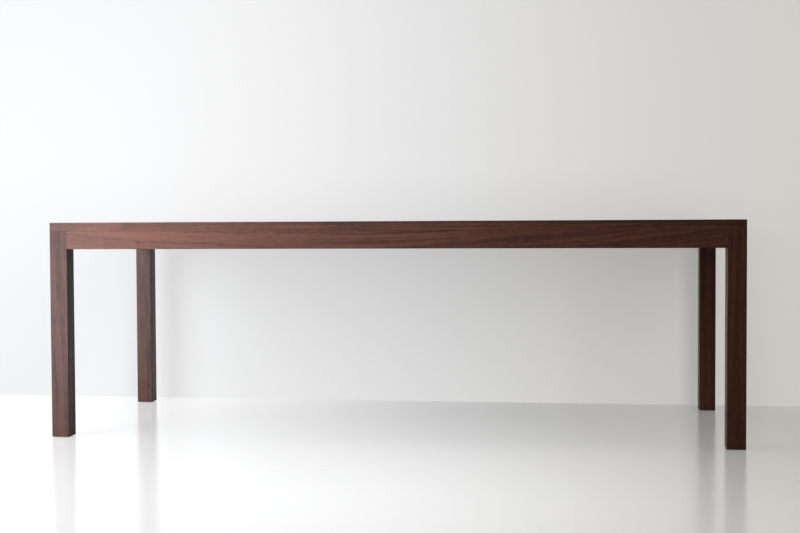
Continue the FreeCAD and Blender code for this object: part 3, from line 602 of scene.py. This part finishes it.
for number in (1, 2, 3):
    walnut(f"cross_rail_{number}", "Y", pith=(0.02 * number, -0.07), tone=0.92, lean=(0.020, -0.010),
           seed=130.0 + 9.0 * number)
put_on(frame["nodes"]["rail_washers"], zinc)
rail_screw_low, rail_screw_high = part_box("rail_screws")
rail_seat = rail_screw_low.z + DOME_HEIGHT
rail_x, rail_y = rail_screw_high.x - HEAD_RADIUS, rail_screw_high.y - HEAD_RADIUS
feet = list(itertools.product((-rail_x, 0.0, rail_x), (-rail_y, 0.0, rail_y), (rail_seat,)))
set_pieces("slotted_rail_screws", make_domed_screw(rail_screw_high.z - rail_seat), feet,
           [(0.0, 0.0, -1.0)] * len(feet), "rail_screws")

# Top clips
# Zinc-plated figure-of-eight clips let into the aprons' upper edges. One countersunk screw goes down into the
# apron and one goes up into the top.

HEAD_CONE = 0.0021
HEAD_RIM = 0.0002
HEAD_TO_NECK = 0.0001
CLIP_SPACING = 0.6096
LONG_SIDE_CLIPS = tuple(step * CLIP_SPACING for step in (-1.5, -0.5, 0.5, 1.5))
SHORT_SIDE_CLIPS = (-rail_y, 0.0, rail_y)


def make_countersunk_screw(length):
    """A wood screw with its head's flat face at height zero, over a cone and a thin rim."""
    return make_screw_rows(length, -HEAD_CONE - HEAD_TO_NECK, [SHANK_RADIUS, HEAD_RADIUS, HEAD_RADIUS],
                           [-HEAD_CONE, -HEAD_RIM, 0.0])


def clip_screws(name, node, up):
    """The clips' screws into the apron, or up into the top, in a line around the table."""
    low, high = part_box(node)
    across_x, across_y = high.x - HEAD_RADIUS, high.y - HEAD_RADIUS
    face = low.z if up else high.z
    feet = [(x, y, face) for x, y in itertools.product(LONG_SIDE_CLIPS, (-across_y, across_y))]
    feet += [(x, y, face) for x, y in itertools.product((-across_x, across_x), SHORT_SIDE_CLIPS)]
    axis = (0.0, 0.0, -1.0 if up else 1.0)
    set_pieces(name, make_countersunk_screw(high.z - low.z), feet, [axis] * len(feet), node)


put_on(frame["nodes"]["apron_clips"], zinc)
clip_screws("slotted_clip_apron_screws", "clip_apron_screws", up=False)
clip_screws("slotted_clip_top_screws", "clip_top_screws", up=True)

# Top
# Seven walnut boards, chosen for long even grain, glued edge to edge with loose beech tenons in the seams.
# Boards from different logs alternate, so their tone and figure differ a little from one to the next. The
# front board is darkened towards its left end and in a short thin line along its lower front edge, over
# the apron, and painted shade darkens it steadily towards the right.

BEECH_LIGHT = (0.56, 0.38, 0.23, 1.0)
BEECH_DARK = (0.40, 0.24, 0.13, 1.0)
edge_marks = [
    mark((cad_low.x, front_face, 0.759), (0.120, 0.250, 0.060), darken=0.60),
    mark((-0.115, front_face, 0.748), (0.100, 0.020, 0.0022), darken=0.55)]
# Painted shade: the front board darkens steadily towards the right.
walnut("top_board_1", "X", pith=(-0.060, -0.075), tone=0.88, lean=(0.006, 0.004), seed=160.0, drift=0.20,
       spots=edge_marks)
walnut("top_board_2", "X", pith=(0.010, -0.090), tone=0.84, lean=(0.020, 0.006), ring=0.007, seed=171.3)
walnut("top_board_3", "X", pith=(-0.040, 0.110), tone=1.08, lean=(-0.016, -0.010), seed=182.6)
walnut("top_board_4", "X", pith=(0.020, -0.080), tone=0.92, lean=(0.024, -0.008), ring=0.0075, seed=193.9)
walnut("top_board_5", "X", pith=(0.050, 0.100), tone=0.80, lean=(-0.012, 0.012), seed=205.2)
walnut("top_board_6", "X", pith=(-0.015, -0.070), tone=1.06, lean=(0.020, 0.010), ring=0.007, seed=216.5)
walnut("top_board_7", "X", pith=(0.060, 0.080), tone=0.94, lean=(-0.008, -0.006), seed=227.8)
grown("top_loose_tenons", GRAIN_ALONG["Y"], (0.04, 0.06), BEECH_LIGHT, BEECH_DARK, ring=0.003, seed=240.0,
      pore_depth=0.10)

# Glides
# Round feet of dark nylon let into the legs' lower ends, each held by a countersunk screw, and scuffed in
# paler, rougher patches.

NYLON = (0.013, 0.012, 0.011, 1.0)
NYLON_SCUFFED = (0.060, 0.057, 0.053, 1.0)


def make_nylon():
    """Dark nylon: a fine moulded grain, with paler, rougher scuffs."""
    material, tree, shader = new_material("dark_nylon")
    there = add(tree, "TexCoord").outputs["Object"]
    grain = noise(tree, there, (1500.0, 1500.0, 1500.0)).outputs[0]
    rubbed = noise(tree, there, (160.0, 700.0, 300.0), detail=4.0, roughness=0.6).outputs[0]
    scuffs = ramp(tree, rubbed, 0.52, 0.75)
    tree.links.new(blend(tree, scuffs, NYLON, NYLON_SCUFFED), shader.inputs["Base Color"])
    tree.links.new(calc(tree, "MULTIPLY_ADD", scuffs, 0.25, 0.42), shader.inputs["Roughness"])
    bump = add(tree, "Bump", {"Strength": 0.2, "Distance": 0.0001, "Height": grain})
    tree.links.new(bump.outputs[0], shader.inputs["Normal"])
    return material


put_on(frame["nodes"]["foot_glides"], make_nylon())
glide_screw_low, glide_screw_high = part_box("glide_screws")
glide_x, glide_y = glide_screw_high.x - HEAD_RADIUS, glide_screw_high.y - HEAD_RADIUS
feet = [(sign_x * glide_x, sign_y * glide_y, glide_screw_low.z) for sign_x, sign_y in CORNERS]
set_pieces("slotted_glide_screws", make_countersunk_screw(glide_screw_high.z - glide_screw_low.z), feet,
           [(0.0, 0.0, -1.0)] * len(feet), "glide_screws")

# Floor and backdrop
# A pale satin floor and a pale wall close behind the table, seen only from the table's side, with more floor
# behind the wall for views from there. Both carry painted light: a glow that is brightest at the left and
# fades and warms towards the right, and on the floor also fades towards the wall. A dark screen in front
# and to the right, which the camera doesn't see, keeps that end of the table in shade.


def seen_rays(tree, mirrored=1.0):
    """1 for rays from the camera and through glass, a share for mirrored ones, and 0 for other light."""
    ray = add(tree, "LightPath").outputs
    glossy = calc(tree, "MULTIPLY", ray["Is Glossy Ray"], mirrored)
    straight = calc(tree, "MAXIMUM", ray["Is Camera Ray"], ray["Is Transmission Ray"])
    return calc(tree, "MAXIMUM", straight, glossy)


def grey(level):
    """A neutral colour."""
    return (level, level, level, 1.0)


WALL_GAP = 0.107
WALL_HEIGHT = 5.0
STAGE_REACH = 14.0
FLOOR_GAP = 0.0002
wall_y = cad_high.y + WALL_GAP
floor_z = cad_low.z - FLOOR_GAP


def sheet(name, corners, material):
    """A flat stage piece through four corners."""
    mesh = bpy.data.meshes.new(name)
    mesh.from_pydata(corners, [], [(0, 1, 2, 3)])
    mesh.materials.append(material)
    piece = bpy.data.objects.new(name, mesh)
    bpy.context.scene.collection.objects.link(piece)
    return piece


def lying(name, near, far, material):
    """A stage piece on the floor's level, from one Y to another."""
    return sheet(name, [(-STAGE_REACH, near, floor_z), (STAGE_REACH, near, floor_z),
                        (STAGE_REACH, far, floor_z), (-STAGE_REACH, far, floor_z)], material)


def standing(name, left, right, y, height, material):
    """An upright stage piece from the floor up, between two places along X."""
    return sheet(name, [(left, y, floor_z), (right, y, floor_z), (right, y, height), (left, y, height)],
                 material)


# Painted light: how far from the wall the floor's glow changes, and the warm tint it takes on towards the
# right.
PAINTED_GLOW_DEPTH = 2.4
PAINTED_WARM_REACH = 1.8
PAINTED_WARM_TINT = (1.0, 0.97, 0.88, 1.0)


def make_pale(name, lit, near, far, mirrored, bounce, roughness):
    """A pale stage surface that shows one side only.

    The camera and reflections see the lit share of the light on it, and painted light: a glow that warms
    from left to right. The glow is given in front as near and at the wall as far, each with the places along
    X where it starts and ends to change and its levels there, so that it stands in for light falling off
    across the stage. Reflections see the mirrored share of all that. It throws light on the table as a grey
    of the bounce level.
    """
    material, tree, shader = new_material(name)
    seen = seen_rays(tree, mirrored)
    tree.links.new(blend(tree, seen, grey(bounce), grey(lit)), shader.inputs["Base Color"])
    place = add(tree, "SeparateXYZ", {0: add(tree, "TexCoord").outputs["Object"]}).outputs
    front, rear = ramp(tree, place["X"], *near), ramp(tree, place["X"], *far)
    depth = ramp(tree, place["Y"], wall_y - PAINTED_GLOW_DEPTH, wall_y)
    glow = calc(tree, "MULTIPLY_ADD", calc(tree, "SUBTRACT", rear, front), depth, front)
    tree.links.new(calc(tree, "MULTIPLY", seen, glow), shader.inputs["Emission Strength"])
    warming = ramp(tree, place["X"], 0.0, PAINTED_WARM_REACH)
    tree.links.new(blend(tree, warming, grey(1.0), PAINTED_WARM_TINT), shader.inputs["Emission Color"])
    shader.inputs["Roughness"].default_value = roughness
    clear = add(tree, "BsdfTransparent")
    behind = add(tree, "NewGeometry").outputs["Backfacing"]
    one_sided = add(tree, "MixShader", {0: behind, 1: shader.outputs[0], 2: clear.outputs[0]})
    tree.links.new(one_sided.outputs[0], tree.nodes["Material Output"].inputs["Surface"])
    return material


def make_dark(centre, size):
    """A matt black cloth that thins out away from its centre."""
    material, tree, shader = new_material("dark_screen")
    spot = add(tree, "Group", node_tree=soft_spot)
    tree.links.new(add(tree, "TexCoord").outputs["Object"], spot.inputs["Place"])
    spot.inputs["Centre"].default_value = centre
    spot.inputs["Size"].default_value = size
    tree.links.new(spot.outputs["Mask"], shader.inputs["Alpha"])
    shader.inputs["Base Color"].default_value = grey(0.02)
    shader.inputs["Roughness"].default_value = 1.0
    return material


FLOOR_FINISH = {"lit": 0.17, "mirrored": 0.24, "bounce": 0.30, "roughness": 0.16}
WALL_FINISH = {"lit": 0.12, "mirrored": 1.0, "bounce": 0.54, "roughness": 0.7}
# Painted light: glow levels on the floor in front, at the wall, behind the wall and on the wall, brighter at
# the left.
NEAR_PAINTED_GLOW = (-0.2, 2.05, 0.68, 0.205)
FAR_PAINTED_GLOW = (-1.35, 0.6, 0.49, 0.165)
REAR_PAINTED_GLOW = (-1.1, 0.6, 0.53, 0.22)
WALL_PAINTED_GLOW = (-1.4, 1.4, 0.63, 0.325)
floor_pale = make_pale("floor", near=NEAR_PAINTED_GLOW, far=FAR_PAINTED_GLOW, **FLOOR_FINISH)
floor = lying("floor", -STAGE_REACH, wall_y, floor_pale)
rear_pale = make_pale("rear_floor", near=REAR_PAINTED_GLOW, far=REAR_PAINTED_GLOW, **FLOOR_FINISH)
rear_floor = lying("rear_floor", wall_y, STAGE_REACH, rear_pale)
wall_pale = make_pale("wall", near=WALL_PAINTED_GLOW, far=WALL_PAINTED_GLOW, **WALL_FINISH)
wall = standing("wall", -STAGE_REACH, STAGE_REACH, wall_y, WALL_HEIGHT, wall_pale)
wall.visible_shadow = False

SCREEN_LEFT = -3.5
SCREEN_RIGHT = 8.0
SCREEN_Y = -6.0
SCREEN_HEIGHT = 5.0
screen_dark = make_dark(centre=(1.9, SCREEN_Y, 0.8), size=(3.4, 1.0, 2.6))
screen = standing("dark_screen", SCREEN_LEFT, SCREEN_RIGHT, SCREEN_Y, SCREEN_HEIGHT, screen_dark)
screen.visible_camera = False

# Light
# A tall soft window to the left and in front of the table, a broad soft light overhead that misses the wall,
# and a weak one at the right. Sheen lights show only as gloss on the wood, and a wash lights only the wall.
# The world is pale to look at and gives little light.


def soft_light(name, place, aim, width, height, watts, colour):
    """A rectangular soft light at one place, turned towards another."""
    lamp = bpy.data.lights.new(name, "AREA")
    lamp.shape = "RECTANGLE"
    lamp.size = width
    lamp.size_y = height
    lamp.energy = watts
    lamp.color = colour
    piece = bpy.data.objects.new(name, lamp)
    piece.location = place
    piece.rotation_euler = (Vector(aim) - Vector(place)).to_track_quat("-Z", "Y").to_euler()
    piece.visible_camera = False
    bpy.context.scene.collection.objects.link(piece)
    return piece


def make_world(shown, light):
    """A world of one pale grey to the camera and to reflections, which lights other surfaces less."""
    world = bpy.data.worlds.new("studio")
    world.use_nodes = True
    tree = world.node_tree
    tree.links.new(blend(tree, seen_rays(tree), grey(light), grey(shown)),
                   tree.nodes["Background"].inputs["Color"])
    return world


SHEEN_STEP = 0.01
table = bpy.data.collections.new("table")
for piece in bpy.context.scene.objects:
    if piece.type == "MESH" and piece not in (floor, rear_floor, wall, screen):
        table.objects.link(piece)
only_wall = bpy.data.collections.new("only_wall")
only_wall.objects.link(wall)
all_but_wall = bpy.data.collections.new("all_but_wall")
all_but_wall.objects.link(wall)
all_but_wall.collection_objects[0].light_linking.link_state = "EXCLUDE"


def sheen_light(name, place, aim, **light):
    """A soft light that shows only as gloss on the table.

    It stands a step nearer than its place, so that it doesn't lie in the plane of the light whose sheen
    it gives.
    """
    nearer = Vector(place).lerp(Vector(aim), SHEEN_STEP)
    piece = soft_light(name, nearer, aim, **light)
    piece.visible_diffuse = False
    piece.light_linking.receiver_collection = table


WINDOW = {"place": (-2.65, -2.02, 1.25), "aim": (-1.5, -0.3, 0.52), "width": 1.8, "height": 1.8,
          "colour": (0.95, 0.99, 1.07)}
OVERHEAD = {"place": (0.6, -0.45, 2.6), "aim": (0.6, 0.0, 0.6), "width": 4.0, "height": 0.6,
            "colour": (1.0, 0.98, 0.95)}
window = soft_light("window", watts=168.0, **WINDOW)
window.visible_glossy = False
overhead = soft_light("overhead", watts=32.0, **OVERHEAD)
overhead.visible_glossy = False
overhead.light_linking.receiver_collection = all_but_wall
sheen_light("window_sheen", watts=195.0, **WINDOW)
sheen_light("overhead_sheen", watts=32.0, **OVERHEAD)
sheen_light("far_sheen", place=(-1.4, -4.4, 0.45), aim=(-0.6, -0.5, 0.6), width=1.8, height=0.8,
            watts=31.0, colour=(0.97, 0.97, 1.08))
sheen_light("low_sheen", place=(-1.85, -1.95, 0.17), aim=(-1.2, -0.48, 0.25), width=1.0, height=0.3,
            watts=17.0, colour=(0.90, 0.98, 1.15))
fill = soft_light("right_fill", place=(4.2, 0.1, 1.6), aim=(0.0, 0.1, 0.5), width=1.2, height=1.6,
                  watts=50.0, colour=(1.0, 0.97, 0.92))
fill.light_linking.receiver_collection = table
wash = soft_light("wall_wash", place=(1.6, -3.6, 1.4), aim=(0.8, 0.6, 0.6), width=2.4, height=2.8,
                  watts=325.0, colour=(1.0, 0.98, 0.95))
wash.light_linking.receiver_collection = only_wall
bpy.context.scene.world = make_world(shown=0.60, light=0.05)
bpy.context.scene.view_settings.view_transform = "Standard"

# Camera
# It stands in front of the table, a little right of the middle and just under the top's height, and looks
# slightly left and down. Its angles are in radians.

CAMERA_PLACE = (0.6350, -4.7663, 0.7566)
CAMERA_HEADING = 0.13539
CAMERA_DOWN = 0.03216
CAMERA_ROLL = 0.0045
CAMERA_LENS_MM = 56.26
camera = bpy.data.objects.new("camera", bpy.data.cameras.new("camera"))
camera.data.lens = CAMERA_LENS_MM
level = Matrix.Rotation(CAMERA_HEADING, 4, "Z") @ Matrix.Rotation(math.pi / 2 - CAMERA_DOWN, 4, "X")
camera.matrix_world = Matrix.Translation(CAMERA_PLACE) @ level @ Matrix.Rotation(-CAMERA_ROLL, 4, "Z")
bpy.context.scene.collection.objects.link(camera)
bpy.context.scene.camera = camera
